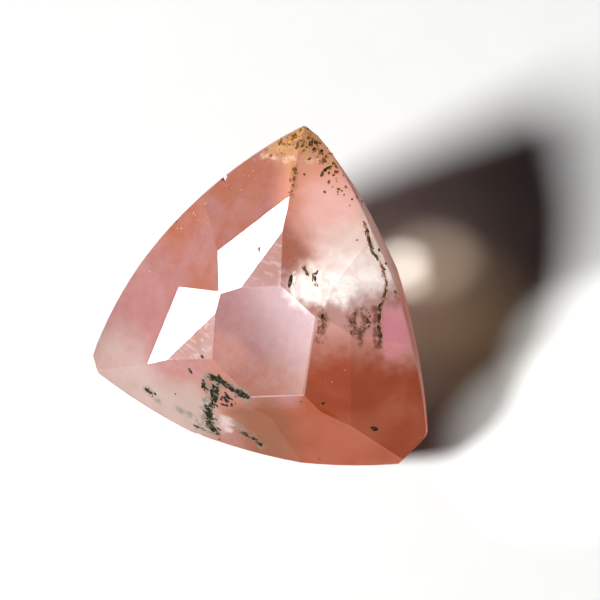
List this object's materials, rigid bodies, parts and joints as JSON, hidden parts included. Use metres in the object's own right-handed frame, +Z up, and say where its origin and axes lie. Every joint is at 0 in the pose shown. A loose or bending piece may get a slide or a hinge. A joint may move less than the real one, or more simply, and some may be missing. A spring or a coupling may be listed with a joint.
{
  "type": "cobaltoan calcite gemstone",
  "caption": "Pink faceted cobaltoan calcite, a three-sided trillion with bowed sides, lying on a pavilion facet.",
  "frame": {"origin": "middle of the stone's footprint box, on the surface it rests on", "axes": "+Z up, the table leans towards -Y, corner A is raised towards +Y, corner B towards -X"},
  "size_m": [0.0086, 0.007, 0.0056],
  "materials": {
    "pink_calcite": "polished, see-through, with natural inclusions"
  },
  "bodies": {
    "root": {"calcite_gem": "pink_calcite"}
  },
  "joints": []
}
